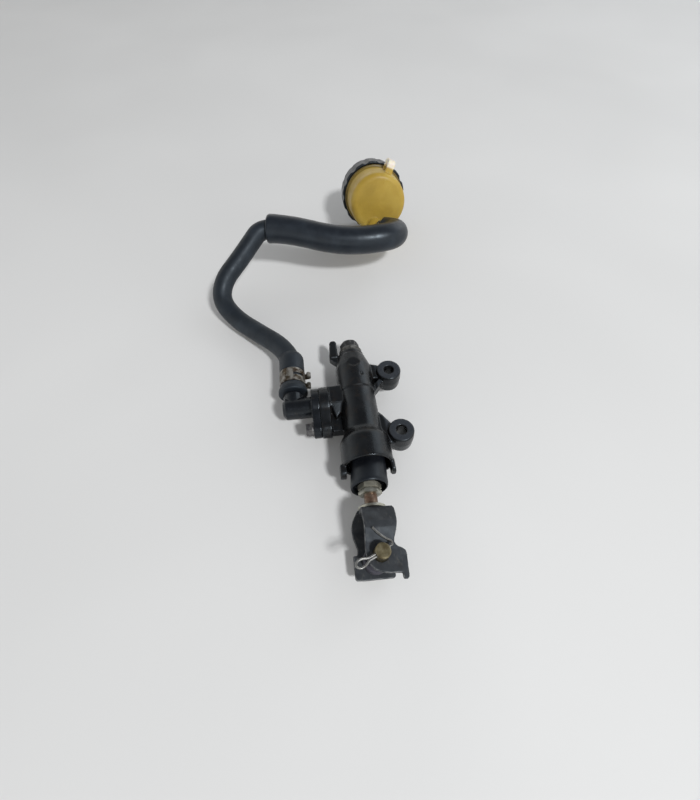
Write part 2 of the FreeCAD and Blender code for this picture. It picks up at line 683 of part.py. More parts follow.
# ---- inlet elbow ----
def port_elbow():
    """Moulded elbow: lobed flange, sealing spigot, barrel and hose nipple."""
    flange = lobed_plate(FLANGE_OUTER_X, FLANGE_JOINT_X - 0.05)
    spigot = Part.makeCylinder(5.2, 6.4, Vector(FLANGE_JOINT_X - 0.1, PORT_Y, PORT_Z), ALONG_X)
    groove = Part.makeCylinder(5.3, 2.2, Vector(-47.6, PORT_Y, PORT_Z), ALONG_X)
    groove = groove.cut(Part.makeCylinder(3.9, 2.2, Vector(-47.6, PORT_Y, PORT_Z), ALONG_X))
    barrel_end = ELBOW_X - ELBOW_RADIUS - 0.2
    barrel = Part.makeCylinder(ELBOW_RADIUS, 20.5, Vector(barrel_end, PORT_Y, PORT_Z), ALONG_X)
    rim = [edge for edge in barrel.Edges if abs(edge.CenterOfMass.x - barrel_end) < 0.01]
    barrel = barrel.makeChamfer(2.2, rim)
    riser = cylinder_y(ELBOW_RADIUS - 0.3, PORT_Y, ELBOW_TOP, ELBOW_X, PORT_Z)
    nipple = turned_y([
        (ELBOW_TOP - 1, 0), (ELBOW_TOP - 1, NIPPLE_RADIUS), (NIPPLE_END - 1.2, NIPPLE_RADIUS),
        (NIPPLE_END, NIPPLE_RADIUS - 0.7), (NIPPLE_END, 0),
    ], ELBOW_X, PORT_Z)
    way_in = Part.makeCylinder(PASSAGE_RADIUS, 27, Vector(ELBOW_X, PORT_Y, PORT_Z), ALONG_X)
    way_up = cylinder_y(PASSAGE_RADIUS, PORT_Y, NIPPLE_END + 1, ELBOW_X, PORT_Z)
    screw_hole = Part.makeCylinder(2.8, 8, Vector(-57, SCREW_Y, PORT_Z), ALONG_X)
    solid = flange.fuse([spigot, barrel, riser, nipple])
    return solid.cut([groove, way_in, way_up, screw_hole]).removeSplitter()


def elbow_seal():
    ring = Part.makeTorus(4.65, 0.72, Vector(-46.5, PORT_Y, PORT_Z), ALONG_X)
    return ring


def elbow_screw():
    """Flanged hexagon screw that holds the elbow to the casting."""
    start = FLANGE_OUTER_X - 0.02
    washer = Part.makeCylinder(4.7, 1.0, Vector(start - 1.0, SCREW_Y, PORT_Z), ALONG_X)
    corner = 8.0 / math.sqrt(3)
    points = []
    for side in range(6):
        y = SCREW_Y + corner * math.cos(math.radians(60 * side))
        z = PORT_Z + corner * math.sin(math.radians(60 * side))
        points.append(Vector(start - 5.0, y, z))
    head = Part.Face(Part.makePolygon(points + points[:1])).extrude(Vector(4.2, 0, 0))
    shank = Part.makeCylinder(2.48, 10.5, Vector(start - 0.5, SCREW_Y, PORT_Z), ALONG_X)
    return washer.fuse([head, shank])


# ---- hose ----
def hose_and_sleeve():
    """Feed hose with its thick lower end, and the protective sleeve over it."""
    radii = bend_radii(HOSE_ROUTE)
    print("hose bend radii:", [round(radius, 1) for radius in radii])
    wire = route_wire(HOSE_ROUTE, radii)
    core = swept(wire, HOSE_RADIUS)
    expected = math.pi * HOSE_RADIUS ** 2 * wire.Length
    print(f"hose length {wire.Length:.1f}, volume ratio {core.Volume / expected:.4f}")
    cuff = turned_y([
        (CUFF_START, 0), (CUFF_START, CUFF_LIP_RADIUS - 0.6), (CUFF_START + 0.7, CUFF_LIP_RADIUS),
        (CUFF_START + 3.4, CUFF_LIP_RADIUS),
        (CLAMP_START - 0.6, CUFF_RADIUS), (CLAMP_START - 0.1, CUFF_GROOVE_RADIUS),
        (CLAMP_END + 0.1, CUFF_GROOVE_RADIUS), (CLAMP_END + 0.6, CUFF_RADIUS),
        (CUFF_END - 4.0, CUFF_RADIUS), (CUFF_END - 1.2, CUFF_RADIUS - 0.6), (CUFF_END, HOSE_RADIUS - 0.4),
        (CUFF_END, 0),
    ], ELBOW_X, PORT_Z)
    hose = core.fuse(cuff).cut(swept(wire, HOSE_BORE_RADIUS))
    first = Vector(*HOSE_ROUTE[SLEEVE_FIRST_POINT])
    second = Vector(*HOSE_ROUTE[SLEEVE_FIRST_POINT + 1])
    lead_in = first + (second - first) * SLEEVE_LEAD
    last_corner = Vector(*HOSE_ROUTE[-2])
    last_end = Vector(*HOSE_ROUTE[-1])
    lead_out = last_corner + (last_end - last_corner) * 0.47
    route = [tuple(lead_in)] + HOSE_ROUTE[SLEEVE_FIRST_POINT + 1:-1] + [tuple(lead_out)]
    sleeve_wire = route_wire(route, radii[SLEEVE_FIRST_POINT:])
    print(f"sleeve length {sleeve_wire.Length:.1f}")
    sleeve = swept(sleeve_wire, SLEEVE_RADIUS).cut(swept(sleeve_wire, SLEEVE_BORE_RADIUS))
    return hose, sleeve


def hose_clamp():
    """Spring band with a slot and two pinch ears."""
    inner = CUFF_GROOVE_RADIUS
    outer = inner + CLAMP_THICKNESS
    band = tube_y(outer, inner, CLAMP_START, CLAMP_END, ELBOW_X, PORT_Z)
    slot = Part.makeBox(6.5, 2.2, 6.0, Vector(ELBOW_X + 1.5, CLAMP_START + 4.4, PORT_Z + 4.0))
    band = band.cut(slot)
    ears = []
    for offset, lean in ((4.4, 6), (0.4, -26)):
        start = CLAMP_START + offset
        ear = Part.makeBox(3.6, EAR_WIDTH, CLAMP_THICKNESS, Vector(inner + 0.1, start, -CLAMP_THICKNESS / 2))
        curl = Part.makeCylinder(1.5, EAR_WIDTH, Vector(inner + 3.6, start, 1.1), ALONG_Y)
        ear = ear.fuse(curl)
        ear.Placement = Placement(Vector(ELBOW_X, 0, PORT_Z), Rotation(ALONG_Y, -lean))
        ears.append(ear)
    return band.fuse(ears)


def upper_clamp():
    """Wire clip on the hose where it meets the reservoir."""
    corner = Vector(*HOSE_ROUTE[-2])
    end = Vector(*HOSE_ROUTE[-1])
    heading = (corner - end).normalize()
    start = end + heading * 0.8
    ring = Part.makeCylinder(HOSE_RADIUS + 0.8, 3.6, start, heading)
    return ring.cut(Part.makeCylinder(HOSE_RADIUS, 3.6, start, heading))


# ---- reservoir ----
def in_reservoir_frame(shape):
    """Place a shape drawn with Z running from the cap's top to the outlet end."""
    shape.Placement = Placement(RESERVOIR_CENTRE, Rotation(ALONG_X, RESERVOIR_TILT))
    return shape


def reservoir_body():
    """Moulded cup with a threaded neck, a mounting tab and an outlet."""
    outer = RESERVOIR_RADIUS
    profile = [
        (RIM_Z, 0), (RIM_Z, NECK_RADIUS), (8.4, NECK_RADIUS), (8.9, NECK_RADIUS + 0.6),
        (9.9, NECK_RADIUS + 0.6), (10.4, NECK_RADIUS), (12.6, NECK_RADIUS), (13.1, NECK_RADIUS + 0.6),
        (14.1, NECK_RADIUS + 0.6), (14.6, NECK_RADIUS), (16.8, NECK_RADIUS), (17.3, NECK_RADIUS + 0.6),
        (18.3, NECK_RADIUS + 0.6), (18.8, NECK_RADIUS), (SHOULDER_Z, NECK_RADIUS),
        (SHOULDER_Z, NECK_RADIUS + 1.2), (SHOULDER_Z + 1.6, NECK_RADIUS + 1.2),
        (SHOULDER_Z + 2.2, outer + 0.4), (RESERVOIR_DEPTH, outer - 0.3), (RESERVOIR_DEPTH, 0),
    ]
    cup = turned_z(profile)
    cup = rounded(cup, 5.0, lambda edge: abs(edge.CenterOfMass.z - RESERVOIR_DEPTH) < 0.01
                  and edge.Length > 100)
    neck_inner = NECK_RADIUS - RESERVOIR_WALL
    hollow_radius = outer - RESERVOIR_WALL - 0.3
    floor = RESERVOIR_DEPTH - RESERVOIR_WALL
    hollow = turned_z([
        (RIM_Z - 1, 0), (RIM_Z - 1, neck_inner), (SHOULDER_Z + 1, neck_inner),
        (SHOULDER_Z + 3, hollow_radius), (floor - 4, hollow_radius - 0.2), (floor, hollow_radius - 4.2),
        (floor, 0),
    ])
    cup = cup.fuse([outlet_elbow(), mounting_tab()])
    return in_reservoir_frame(cup.cut([hollow, outlet_way(), tab_hole()]))


def outlet_heading():
    """Direction of the reservoir's nipple in the reservoir's own frame."""
    corner = Vector(*HOSE_ROUTE[-2])
    end = Vector(*HOSE_ROUTE[-1])
    turn = Rotation(ALONG_X, RESERVOIR_TILT).inverted()
    return turn.multVec((corner - end).normalize())


def outlet_corner():
    """Corner of the outlet elbow, just behind the end of the hose."""
    turn = Rotation(ALONG_X, RESERVOIR_TILT).inverted()
    end = turn.multVec(Vector(*HOSE_ROUTE[-1]) - RESERVOIR_CENTRE)
    return end - outlet_heading() * 4.5


def outlet_elbow():
    corner = outlet_corner()
    spout = Part.makeCylinder(5.4, (corner - OUTLET_ROOT).Length, OUTLET_ROOT, corner - OUTLET_ROOT)
    knuckle = Part.makeSphere(5.4, corner)
    collar = Part.makeCylinder(5.4, 4.3, corner, outlet_heading())
    nipple = Part.makeCylinder(NIPPLE_RADIUS, 10.5, corner, outlet_heading())
    return spout.fuse([knuckle, collar, nipple])


def outlet_way():
    corner = outlet_corner()
    inwards = (OUTLET_ROOT - corner).normalize()
    down = Part.makeCylinder(PASSAGE_RADIUS, (corner - OUTLET_ROOT).Length + 3, corner, inwards)
    out = Part.makeCylinder(PASSAGE_RADIUS, 12, corner, outlet_heading())
    return down.fuse(out)


def tab_placement():
    return Placement(Vector(0, 0, TAB_AXIAL), Rotation(ALONG_Z, -TAB_ANGLE))


def mounting_tab():
    """Thick tab with rounded corners; its hole runs across the reservoir's axis."""
    half = TAB_THICKNESS / 2
    low = Vector(-half, 20, -TAB_LENGTH / 2)
    tab = Part.makeBox(TAB_THICKNESS, TAB_END - 20, TAB_LENGTH, low)
    tab = rounded(tab, 4.0, lambda edge: abs(edge.CenterOfMass.y - TAB_END) < 0.01
                  and abs(edge.CenterOfMass.x) < 0.01)
    tab.Placement = tab_placement()
    return tab


def tab_hole():
    hole = Part.makeCylinder(TAB_HOLE_RADIUS, 20, Vector(-10, TAB_RADIUS, 0), ALONG_X)
    hole.Placement = tab_placement()
    return hole


def reservoir_diaphragm():
    """Rubber bellows hung in the neck."""
    outline = [(6.0, 0), (6.0, 11.6), (13.6, 12.6), (13.6, 19.6), (4.5, 21.0), (4.5, 24.6), (6.0, 24.6),
               (6.0, 22.4), (15.0, 20.9), (15.0, 11.6), (7.4, 10.6), (7.4, 0)]
    return in_reservoir_frame(turned_z(outline))


def diaphragm_plate():
    profile = [(3.2, 4.0), (3.2, 24.6), (4.4, 24.6), (4.4, 4.0)]
    return in_reservoir_frame(turned_z(profile))


def reservoir_cap():
    """Screw cap with scalloped grips round its edge."""
    profile = [
        (0, 0), (0, CAP_RADIUS - 3.0), (0.8, CAP_RADIUS - 1.6), (2.4, CAP_RADIUS - 0.6),
        (CAP_LENGTH - 0.6, CAP_RADIUS), (CAP_LENGTH, CAP_RADIUS - 0.6), (CAP_LENGTH, 26.2), (3.0, 26.2),
        (3.0, 0),
    ]
    cap = turned_z(profile)
    scallops = []
    for lobe in range(CAP_LOBES):
        angle = 2 * math.pi * lobe / CAP_LOBES
        distance = CAP_RADIUS + 3.6
        centre = Vector(distance * math.cos(angle), distance * math.sin(angle), -1)
        scallops.append(Part.makeCylinder(4.8, CAP_LENGTH + 2, centre))
    dish = turned_z([(-1, 0), (-1, 21.0), (0.9, 20.0), (0.9, 0)])
    return in_reservoir_frame(cap.cut(scallops + [dish]))


def main():
    os.makedirs("parts", exist_ok=True)
    hose, sleeve = hose_and_sleeve()
    nodes = {
        "cylinder_body": cylinder_body(),
        "crush_washers": crush_washers(),
        "banjo_bolt": banjo_bolt(),
        "piston": piston(),
        "primary_cup": primary_cup(),
        "secondary_cup": secondary_cup(),
        "spring_seat": spring_seat(),
        "return_spring": return_spring(),
        "stop_washer": stop_washer(),
        "circlip": circlip(),
        "rubber_boot": rubber_boot(),
        "push_rod": push_rod(),
        "lock_nut": lock_nut(),
        "clevis_nut": clevis_nut(),
        "clevis_bracket": clevis_bracket(),
        "clevis_pin": clevis_pin(),
        "cotter_pin": cotter_pin(),
        "pedal_bush": pedal_bush(),
        "port_elbow": port_elbow(),
        "elbow_seal": elbow_seal(),
        "elbow_screw": elbow_screw(),
        "hose": hose,
        "hose_sleeve": sleeve,
        "hose_clamp": hose_clamp(),
        "upper_clamp": upper_clamp(),
        "reservoir_body": reservoir_body(),
        "reservoir_diaphragm": reservoir_diaphragm(),
        "diaphragm_plate": diaphragm_plate(),
        "reservoir_cap": reservoir_cap(),
    }
    for node, shape in nodes.items():
        export(shape, node)
        valid = "" if shape.isValid() else "  NOT VALID"
        print(f"{node}: {len(shape.Solids)} solid, {shape.Volume:.0f} mm3{valid}")


main()
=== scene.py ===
import json
import math

import bmesh
import bpy
from mathutils import Matrix, Vector, noise


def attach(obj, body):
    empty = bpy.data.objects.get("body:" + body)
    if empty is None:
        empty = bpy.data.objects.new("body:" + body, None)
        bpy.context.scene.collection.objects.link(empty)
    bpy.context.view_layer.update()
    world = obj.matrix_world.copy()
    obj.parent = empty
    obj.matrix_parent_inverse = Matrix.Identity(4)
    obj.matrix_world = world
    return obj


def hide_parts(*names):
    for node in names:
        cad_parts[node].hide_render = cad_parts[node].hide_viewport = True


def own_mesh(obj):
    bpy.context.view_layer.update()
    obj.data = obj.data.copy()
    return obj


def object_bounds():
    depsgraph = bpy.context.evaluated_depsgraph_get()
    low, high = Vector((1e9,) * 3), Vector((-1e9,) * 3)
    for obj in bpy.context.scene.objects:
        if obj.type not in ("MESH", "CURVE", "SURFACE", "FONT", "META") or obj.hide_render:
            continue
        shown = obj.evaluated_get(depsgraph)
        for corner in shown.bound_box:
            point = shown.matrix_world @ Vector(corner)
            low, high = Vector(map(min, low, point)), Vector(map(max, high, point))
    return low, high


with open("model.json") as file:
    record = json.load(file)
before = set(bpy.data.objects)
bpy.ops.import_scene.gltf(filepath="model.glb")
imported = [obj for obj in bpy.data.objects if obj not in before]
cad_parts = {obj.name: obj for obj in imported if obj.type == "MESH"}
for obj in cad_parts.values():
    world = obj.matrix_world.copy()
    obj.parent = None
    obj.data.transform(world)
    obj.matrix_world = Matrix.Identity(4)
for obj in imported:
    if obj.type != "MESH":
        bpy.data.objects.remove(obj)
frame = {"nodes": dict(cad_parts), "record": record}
cad_low, cad_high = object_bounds()

# Metres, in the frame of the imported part; the bore's axis runs along Y.
AXIS_X, AXIS_Z = -0.024, -0.007
RESERVOIR_CENTRE = Vector((0.0185, 0.2375, 0.0031))
RESERVOIR_TILT = math.radians(72.0)

HOSE_ROUTE = [
    (-0.0675, 0.0158, -0.0080),
    (-0.0675, 0.0325, -0.0080),
    (-0.0680, 0.0485, -0.0084),
    (-0.0755, 0.0635, -0.0100),
    (-0.0920, 0.0810, -0.0130),
    (-0.1095, 0.0990, -0.0145),
    (-0.1210, 0.1145, -0.0080),
    (-0.1168, 0.1276, 0.0020),
    (-0.1040, 0.1396, 0.0095),
    (-0.0934, 0.1514, 0.0160),
    (-0.0834, 0.1632, 0.0220),
    (-0.0580, 0.1594, 0.0205),
    (-0.0270, 0.1492, 0.0160),
    (-0.0020, 0.1460, 0.0153),
    (0.0173, 0.1480, 0.0153),
    (0.0258, 0.1532, 0.0132),
    (0.0289, 0.1616, 0.0094),
    (0.0252, 0.1700, 0.0054),
    (0.0164, 0.1742, 0.0035),
]
HOSE_RADIUS = 0.0075
SLEEVE_BORE = 0.0079
SLEEVE_RADIUS = 0.0111
SLEEVE_OPEN_END = (-0.0755, 0.1620, 0.0215)
SLEEVE_FAR_END = (0.0211, 0.1720, 0.0045)
SLEEVE_LIP = 0.0009
SLEEVE_SLANT_RUN = 0.012
CUFF_X, CUFF_Z = -0.0675, -0.0080
BOOT_RADIUS = 0.0115
BOOT_LEAN_Y = -0.0435
BOOT_LEAN_RUN = 0.015
BOOT_SLANT_Y = -0.0470
BOOT_SLANT_RUN = 0.0101
BOOT_SLANT = 0.088
SPRING_TURNS = 5.5
SPRING_START_Y = 0.0142
SPRING_LENGTH = 0.0161
SPRING_RADIUS = 0.005
SPRING_WIRE_RADIUS = 0.0006
HEX_END_Y = -0.0592
BOSS_EDGE_X = -0.0095
FLOOR_HALF_WIDTH = 4
FLOOR_GAP = 0.0004
COLOUR_LEVELS = 255.0
# Bluish tint painted into the reflections of the non-metal finishes, standing in for bluish light
# reflected from the room.
PAINTED_BLUE_SHEEN = (0.80, 0.91, 1.0, 1.0)


# ---- camera ----
def add_camera():
    data = bpy.data.cameras.new("camera")
    data.lens = 18.9
    data.sensor_width = 36.0
    data.clip_start = 0.01
    camera = bpy.data.objects.new("camera", data)
    camera.location = (-0.0483, -0.1485, 0.2335)
    camera.rotation_euler = (math.radians(33.0), 0.0, math.radians(-7.0))
    bpy.context.scene.collection.objects.link(camera)
    bpy.context.scene.camera = camera


# ---- hose ----
def route_curve(name):
    curve = bpy.data.curves.new(name, "CURVE")
    curve.dimensions = "3D"
    spline = curve.splines.new("NURBS")
    spline.points.add(len(HOSE_ROUTE) - 1)
    for point, place in zip(spline.points, HOSE_ROUTE):
        point.co = (*place, 1.0)
        point.radius = HOSE_RADIUS
    spline.order_u = 3
    spline.use_endpoint_u = True
    spline.resolution_u = 24
    obj = bpy.data.objects.new(name, curve)
    bpy.context.scene.collection.objects.link(obj)
    return obj


def route_line():
    """Points along the route's own spline."""
    guide = route_curve("route_guide")
    mesh = bpy.data.meshes.new_from_object(guide)
    points = [vertex.co.copy() for vertex in mesh.vertices]
    bpy.data.meshes.remove(mesh)
    bpy.data.objects.remove(guide)
    return points


def along(points):
    """Distance of each point from the first."""
    total, out = 0.0, [0.0]
    for a, b in zip(points, points[1:]):
        total += (b - a).length
        out.append(total)
    return out


def nearest(points, place):
    return min(range(len(points)), key=lambda i: (points[i] - Vector(place)).length)


# ---- mesh helpers ----
def add_mesh(name, verts, faces):
    mesh = bpy.data.meshes.new(name)
    mesh.from_pydata([tuple(v) for v in verts], [], faces)
    shape = bmesh.new()
    shape.from_mesh(mesh)
    bmesh.ops.recalc_face_normals(shape, faces=shape.faces)
    shape.to_mesh(mesh)
    shape.free()
    for face in mesh.polygons:
        face.use_smooth = True
    obj = bpy.data.objects.new(name, mesh)
    bpy.context.scene.collection.objects.link(obj)
    return obj


def rings_to_faces(rings, sides, closed):
    """Quads between rings of equal size; closed joins the last ring to the first."""
    faces = []
    pairs = list(zip(range(rings - 1), range(1, rings)))
    if closed:
        pairs.append((rings - 1, 0))
    for a, b in pairs:
        for k in range(sides):
            n = (k + 1) % sides
            faces.append((a * sides + k, a * sides + n, b * sides + n, b * sides + k))
    return faces


def carried_frames(points):
    """A side and an up vector at each point, turned no more than the line turns."""
    side = Vector((0.0, 0.0, 1.0))
    frames = []
    for i, point in enumerate(points):
        before = points[max(i - 1, 0)]
        after = points[min(i + 1, len(points) - 1)]
        ahead = (after - before).normalized()
        side = (side - ahead * side.dot(ahead)).normalized()
        frames.append((side, ahead.cross(side), ahead))
    return frames


def ring(centre, side, up, radius, sides, wobble=None):
    out = []
    for k in range(sides):
        angle = 2 * math.pi * k / sides
        direction = side * math.cos(angle) + up * math.sin(angle)
        r = radius + (wobble(centre + direction * radius) if wobble else 0.0)
        out.append(centre + direction * r)
    return out


def tube_with_bore(name, points, outer, bore, sides, wobble):
    """Closed tube wall round a line; outer and bore give a radius for each point."""
    frames = carried_frames(points)
    verts = []
    for point, (side, up, _), radius in zip(points, frames, outer):
        verts += ring(point, side, up, radius, sides, wobble)
    for point, (side, up, _), radius in reversed(list(zip(points, frames, bore))):
        verts += ring(point, side, up, radius, sides)
    return add_mesh(name, verts, rings_to_faces(2 * len(points), sides, True))


def turned(name, profile, centre_at, sides, wobble):
    """Closed surface turned about a line: profile is (y, radius), centre_at(y) its centre."""
    verts = []
    for y, radius in profile:
        verts += ring(centre_at(y), Vector((1, 0, 0)), Vector((0, 0, 1)), radius, sides, wobble)
    return add_mesh(name, verts, rings_to_faces(len(profile), sides, True))


def filled_profile(corners, step):
    """More points on the runs of a profile, so that a surface can be shaded and bent."""
    out = []
    for (y0, r0), (y1, r1) in zip(corners, corners[1:]):
        count = max(1, int(math.hypot(y1 - y0, r1 - r0) / step))
        out += [(y0 + (y1 - y0) * i / count, r0 + (r1 - r0) * i / count) for i in range(count)]
    out.append(corners[-1])
    return out


# ---- pieces ----
def add_hose():
    hose = route_curve("feed_hose")
    hose.data.bevel_depth = 1.0
    hose.data.bevel_resolution = 10
    hose.data.use_fill_caps = True
    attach(hose, "housing")
    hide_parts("hose")
    return hose


def add_sleeve(points):
    """Loose outer sleeve, a little flared and uneven at its cut end."""
    first = nearest(points, SLEEVE_OPEN_END)
    last = nearest(points, SLEEVE_FAR_END)
    line = points[first:last + 1]
    distance = along(line)
    whole = distance[-1]
    outer, bore = [], []
    for d in distance:
        lip = max(0.0, 1.0 - d / SLEEVE_LIP, 1.0 - (whole - d) / SLEEVE_LIP)
        flare = 0.0004 * math.exp(-d / 0.006)
        outer.append(SLEEVE_RADIUS + flare - 0.0006 * lip ** 2)
        bore.append(SLEEVE_BORE + 0.0003 * lip ** 2 + flare)
    sleeve = tube_with_bore(
        "hose_sleeve_skin", line, outer, bore, 64,
        lambda p: 0.00016 * noise.noise(p * 70.0) + 0.00004 * noise.noise(p * 420.0))
    slant_end(sleeve, line)
    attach(sleeve, "housing")
    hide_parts("hose_sleeve")
    return sleeve


def slant_end(sleeve, line):
    """The sleeve was cut by hand: its open end leans out on the side away from the reservoir."""
    ahead = (line[12] - line[0]).normalized()
    for vertex in sleeve.data.vertices:
        offset = vertex.co - line[0]
        share = max(0.0, 1.0 - offset.dot(ahead) / SLEEVE_SLANT_RUN)
        if share > 0.0 and offset.length < 0.030:
            lean = 0.0022 * (offset.y - ahead.y * offset.dot(ahead)) / SLEEVE_RADIUS - 0.0016
            vertex.co += ahead * (lean * min(1.0, share))


def add_cuff():
    """Thick moulded end of the hose, with the groove the clamp sits in."""
    corners = [
        (0.0158, 0.0076), (0.0158, 0.0094), (0.0161, 0.0098), (0.0165, 0.0100), (0.0188, 0.0100),
        (0.0192, 0.00992), (0.0196, 0.0097), (0.0224, 0.0089), (0.0228, 0.0085), (0.0231, 0.0082),
        (0.0338, 0.0082), (0.0341, 0.0085), (0.0343, 0.00885), (0.0455, 0.0089), (0.0470, 0.00875),
        (0.0484, 0.0083), (0.0493, 0.0078), (0.0498, 0.0071), (0.0498, 0.0060), (0.0160, 0.0060),
    ]
    cuff = turned("hose_cuff", filled_profile(corners, 0.0008),
                  lambda y: Vector((CUFF_X, y, CUFF_Z)), 96,
                  lambda p: 0.00007 * noise.noise(p * 160.0))
    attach(cuff, "housing")
    return cuff


def add_boot():
    """Dust boot that leans with the rod; its nose is hollow round the hexagon and cut aslant."""
    def centre(y):
        share = min(1.0, max(0.0, (BOOT_LEAN_Y - y) / BOOT_LEAN_RUN))
        eased = share if share > 0.25 else 2.0 * share * share + 0.5 * share
        return Vector((AXIS_X - 0.0016 * eased, y, AXIS_Z + 0.0012 * eased))

    corners = [
        (-0.03135, 0.0094), (-0.03135, 0.01090), (-0.0317, 0.01115), (-0.0346, 0.01115),
        (-0.0349, 0.0108), (-0.0430, 0.0109), (-0.0500, 0.0113), (-0.0552, BOOT_RADIUS),
        (-0.0562, 0.01135), (-0.0568, 0.0111), (-0.0571, 0.0108), (-0.0571, 0.0105),
        (-0.0568, 0.0102), (-0.0532, 0.0102), (-0.0529, 0.0069), (-0.0518, 0.0069),
        (-0.0515, 0.0073), (-0.0515, 0.0088), (-0.0511, 0.0092),
        (-0.0350, 0.0092), (-0.0320, 0.0094),
    ]
    boot = turned("dust_boot", filled_profile(corners, 0.0007), centre, 96,
                  lambda p: 0.00010 * noise.noise(p * 110.0))
    for vertex in boot.data.vertices:
        share = min(1.0, max(0.0, (BOOT_SLANT_Y - vertex.co.y) / BOOT_SLANT_RUN))
        height = vertex.co.z - centre(vertex.co.y).z
        vertex.co.y -= BOOT_SLANT * share * (BOOT_RADIUS - height)
    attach(boot, "housing")
    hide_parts("rubber_boot")
    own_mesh(boot)
    return boot


def add_spring():
    """Coil spring between the piston's seat and the end of the bore."""
    steps, sides = 330, 10
    points = []
    for i in range(steps + 1):
        share = i / steps
        angle = 2 * math.pi * SPRING_TURNS * share
        y = SPRING_START_Y + SPRING_LENGTH * share
        points.append(Vector((AXIS_X + SPRING_RADIUS * math.cos(angle), y,
                              AXIS_Z + SPRING_RADIUS * math.sin(angle))))
    verts = []
    for point, (side, up, _) in zip(points, carried_frames(points)):
        verts += ring(point, side, up, SPRING_WIRE_RADIUS, sides)
    faces = rings_to_faces(len(points), sides, False)
    faces.append(tuple(range(sides)))
    faces.append(tuple(range(steps * sides, (steps + 1) * sides)))
    spring = add_mesh("bore_spring", verts, faces)
    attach(spring, "housing")
    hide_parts("return_spring")
    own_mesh(spring)
    return spring


# ---- materials ----
def linear(r, g, b):
    """Colour from 0 to 255 levels as scene-linear values."""
    out = []
    for level in (r, g, b):
        c = level / COLOUR_LEVELS
        out.append(c / 12.92 if c <= 0.04045 else ((c + 0.055) / 1.055) ** 2.4)
    return (*out, 1.0)


class Finish:
    """One procedural surface: colour layers first, then roughness and bump."""

    def __init__(self, name, metallic=0.0, specular=0.5):
        self.material = bpy.data.materials.new(name)
        self.material.use_nodes = True
        self.tree = self.material.node_tree
        self.shader = self.tree.nodes["Principled BSDF"]
        self.shader.inputs["Metallic"].default_value = metallic
        self.shader.inputs["Specular IOR Level"].default_value = specular
        # Painted reflection colour: non-metal finishes reflect with a bluish tint.
        if metallic == 0.0:
            self.shader.inputs["Specular Tint"].default_value = PAINTED_BLUE_SHEEN
        self.where = self.node("ShaderNodeTexCoord").outputs["Object"]
        self.colour = None
        self.geometry = self.node("ShaderNodeNewGeometry")

    def node(self, kind, **settings):
        made = self.tree.nodes.new(kind)
        for key, value in settings.items():
            setattr(made, key, value)
        return made

    def link(self, a, b):
        self.tree.links.new(a, b)

    def noise(self, scale, detail=4.0, rough=0.55, stretch=None, twist=0.0):
        made = self.node("ShaderNodeTexNoise")
        made.inputs["Scale"].default_value = scale
        made.inputs["Detail"].default_value = detail
        made.inputs["Roughness"].default_value = rough
        made.inputs["Distortion"].default_value = twist
        place = self.where
        if stretch:
            mapping = self.node("ShaderNodeMapping")
            mapping.inputs["Scale"].default_value = stretch
            self.link(self.where, mapping.inputs["Vector"])
            place = mapping.outputs["Vector"]
        self.link(place, made.inputs["Vector"])
        return made.outputs["Fac"]

    def cells(self, scale):
        made = self.node("ShaderNodeTexVoronoi")
        made.inputs["Scale"].default_value = scale
        self.link(self.where, made.inputs["Vector"])
        return made.outputs["Distance"]

    def between(self, value, low, high, to_low=0.0, to_high=1.0):
        made = self.node("ShaderNodeMapRange")
        made.inputs["From Min"].default_value = low
        made.inputs["From Max"].default_value = high
        made.inputs["To Min"].default_value = to_low
        made.inputs["To Max"].default_value = to_high
        self.link(value, made.inputs["Value"])
        return made.outputs["Result"]

    def times(self, a, b):
        made = self.node("ShaderNodeMath", operation="MULTIPLY")
        self.link(a, made.inputs[0])
        self.link(b, made.inputs[1])
        return made.outputs[0]

    def base(self, stops, scale, detail=5.0):
        """Stops are (noise value, colour), blended over a soft noise."""
        ramp = self.node("ShaderNodeValToRGB")
        while len(ramp.color_ramp.elements) < len(stops):
            ramp.color_ramp.elements.new(0.5)
        for element, (place, colour) in zip(ramp.color_ramp.elements, stops):
            element.position = place
            element.color = linear(*colour)
        self.link(self.noise(scale, detail, 0.6, twist=0.3), ramp.inputs["Fac"])
        self.colour = ramp.outputs["Color"]

    def layer(self, colour, mask, amount=1.0):
        """Paints a colour where the mask is 1."""
        mix = self.node("ShaderNodeMix", data_type="RGBA")
        self.link(self.between(mask, 0.0, 1.0, 0.0, amount), mix.inputs["Factor"])
        self.link(self.colour, mix.inputs["A"])
        mix.inputs["B"].default_value = linear(*colour)
        self.colour = mix.outputs["Result"]

    def worn_edges(self, colour, start, end, amount, patch=260.0):
        edge = self.between(self.geometry.outputs["Pointiness"], start, end)
        patchy = self.between(self.noise(patch, 4.0), 0.40, 0.60)
        self.layer(colour, self.times(edge, patchy), amount)

    def settled(self, colour, amount):
        """Dirt or dust in corners."""
        corner = self.between(self.geometry.outputs["Pointiness"], 0.49, 0.44)
        patchy = self.between(self.noise(120.0, 5.0), 0.35, 0.60)
        self.layer(colour, self.times(corner, patchy), amount)

    def patches(self, colour, scale, low, high, amount, detail=6.0, stretch=None):
        spots = self.noise(scale, detail, 0.65, stretch, 0.4)
        self.layer(colour, self.between(spots, low, high), amount)

    def roughness(self, low, high, scale, stretch=None):
        value = self.between(self.noise(scale, 5.0, 0.6, stretch), 0.3, 0.7, low, high)
        self.link(value, self.shader.inputs["Roughness"])

    def bump(self, *grains):
        """Each grain is (value output, strength, height in metres)."""
        below = None
        for value, strength, height in grains:
            made = self.node("ShaderNodeBump")
            made.inputs["Strength"].default_value = strength
            made.inputs["Distance"].default_value = height
            self.link(value, made.inputs["Height"])
            if below:
                self.link(below, made.inputs["Normal"])
            below = made.outputs["Normal"]
        self.link(below, self.shader.inputs["Normal"])

    def done(self):
        self.link(self.colour, self.shader.inputs["Base Color"])
        return self.material


